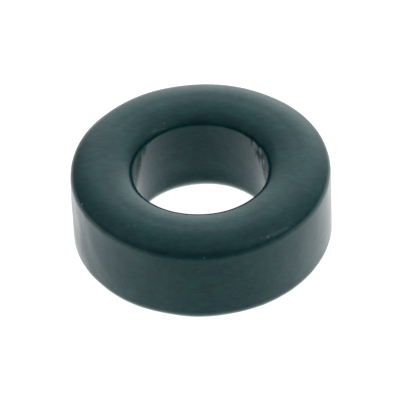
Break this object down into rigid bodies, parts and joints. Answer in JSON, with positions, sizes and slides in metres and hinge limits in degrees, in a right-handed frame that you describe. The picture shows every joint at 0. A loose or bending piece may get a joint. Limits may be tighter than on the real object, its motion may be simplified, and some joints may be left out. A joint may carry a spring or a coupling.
{
  "type": "ferrite toroid core",
  "caption": "Coated ferrite ring with rounded edges and crowned faces; windings or a cable pass through its bore to make an inductor or choke.",
  "frame": {"origin": "on the ring's axis, at the height of the surface that its lower face rests on", "axes": "+Z along the ring's axis, from the lower face to the upper face; +X and +Y are any two directions across it, because the ring is round"},
  "size_m": [0.0234, 0.0234, 0.0092],
  "materials": {
    "epoxy_coat": "thick epoxy coat, deep teal green, satin gloss"
  },
  "bodies": {
    "root": {"toroid_core": "epoxy_coat"}
  },
  "joints": []
}
